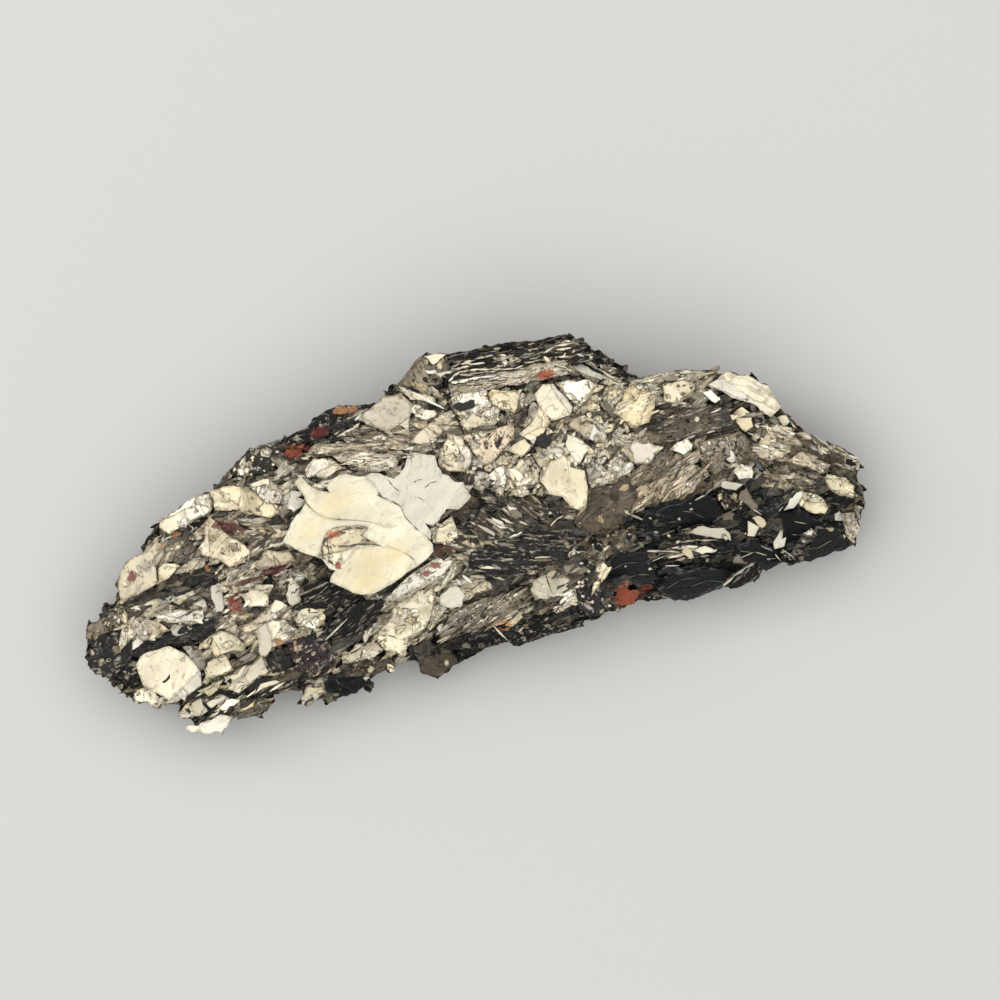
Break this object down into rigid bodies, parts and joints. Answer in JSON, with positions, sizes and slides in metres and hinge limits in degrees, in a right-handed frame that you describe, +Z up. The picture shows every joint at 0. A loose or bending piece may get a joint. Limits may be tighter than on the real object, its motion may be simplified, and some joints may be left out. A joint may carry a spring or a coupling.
{
  "type": "shungite specimen",
  "caption": "Loose, elongated piece of black foliated shungite rock with flat, silvery cleavage plates, stepped flanks and a flat underside to rest on.",
  "frame": {"origin": "under the middle of the rock's box, on the plane that it rests on", "axes": "+X runs along the rock's longest side, from its blunt crumbly end to its ridged end; +Z is up, with the cleavage plates facing up"},
  "size_m": [0.08, 0.032, 0.0218],
  "materials": {
    "shungite": "black rock in glossy, silvery and cream cleavage plates"
  },
  "bodies": {
    "root": {"specimen": "shungite"}
  },
  "joints": []
}
